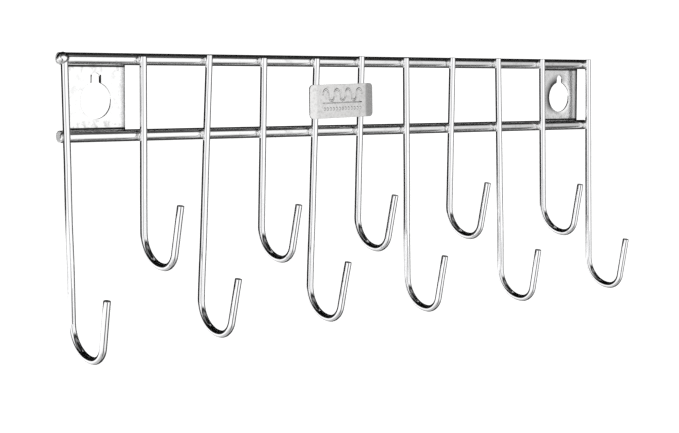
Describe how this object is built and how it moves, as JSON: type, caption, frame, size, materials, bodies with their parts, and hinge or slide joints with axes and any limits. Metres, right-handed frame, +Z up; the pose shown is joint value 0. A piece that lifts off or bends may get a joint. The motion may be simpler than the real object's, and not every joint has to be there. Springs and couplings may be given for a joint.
{
  "type": "wall-mounted mug and utensil hook rack",
  "caption": "Wall rack of welded polished wire: two horizontal rails carry alternating long and short J hooks, with a keyhole plate in each end bay.",
  "frame": {"origin": "midway between the centres of the two keyholes' round entries, in the plane of the wall", "axes": "+X along the rails, +Y into the wall, +Z up; the hooks point along -Y"},
  "size_m": [0.3966, 0.0407, 0.1489],
  "materials": {
    "polished_rail": "polished stainless bar, fine draw lines",
    "polished_wire": "polished stainless wire, fine draw lines",
    "satin_plate": "satin sheet with polished edges",
    "brushed_badge": "fine brushed thin sheet",
    "weld_metal": "small smooth beads with faint heat tint"
  },
  "bodies": {
    "root": {"top_rail": "polished_rail", "bottom_rail": "polished_rail", "long_hook_01": "polished_wire", "short_hook_02": "polished_wire", "long_hook_03": "polished_wire", "short_hook_04": "polished_wire", "long_hook_05": "polished_wire", "short_hook_06": "polished_wire", "long_hook_07": "polished_wire", "short_hook_08": "polished_wire", "long_hook_09": "polished_wire", "short_hook_10": "polished_wire", "long_hook_11": "polished_wire", "left_mounting_plate": "satin_plate", "right_mounting_plate": "satin_plate", "badge_plate": "brushed_badge", "top_rail_welds": "weld_metal", "bottom_rail_welds": "weld_metal", "left_plate_welds": "weld_metal", "right_plate_welds": "weld_metal", "badge_welds": "weld_metal"}
  },
  "joints": []
}
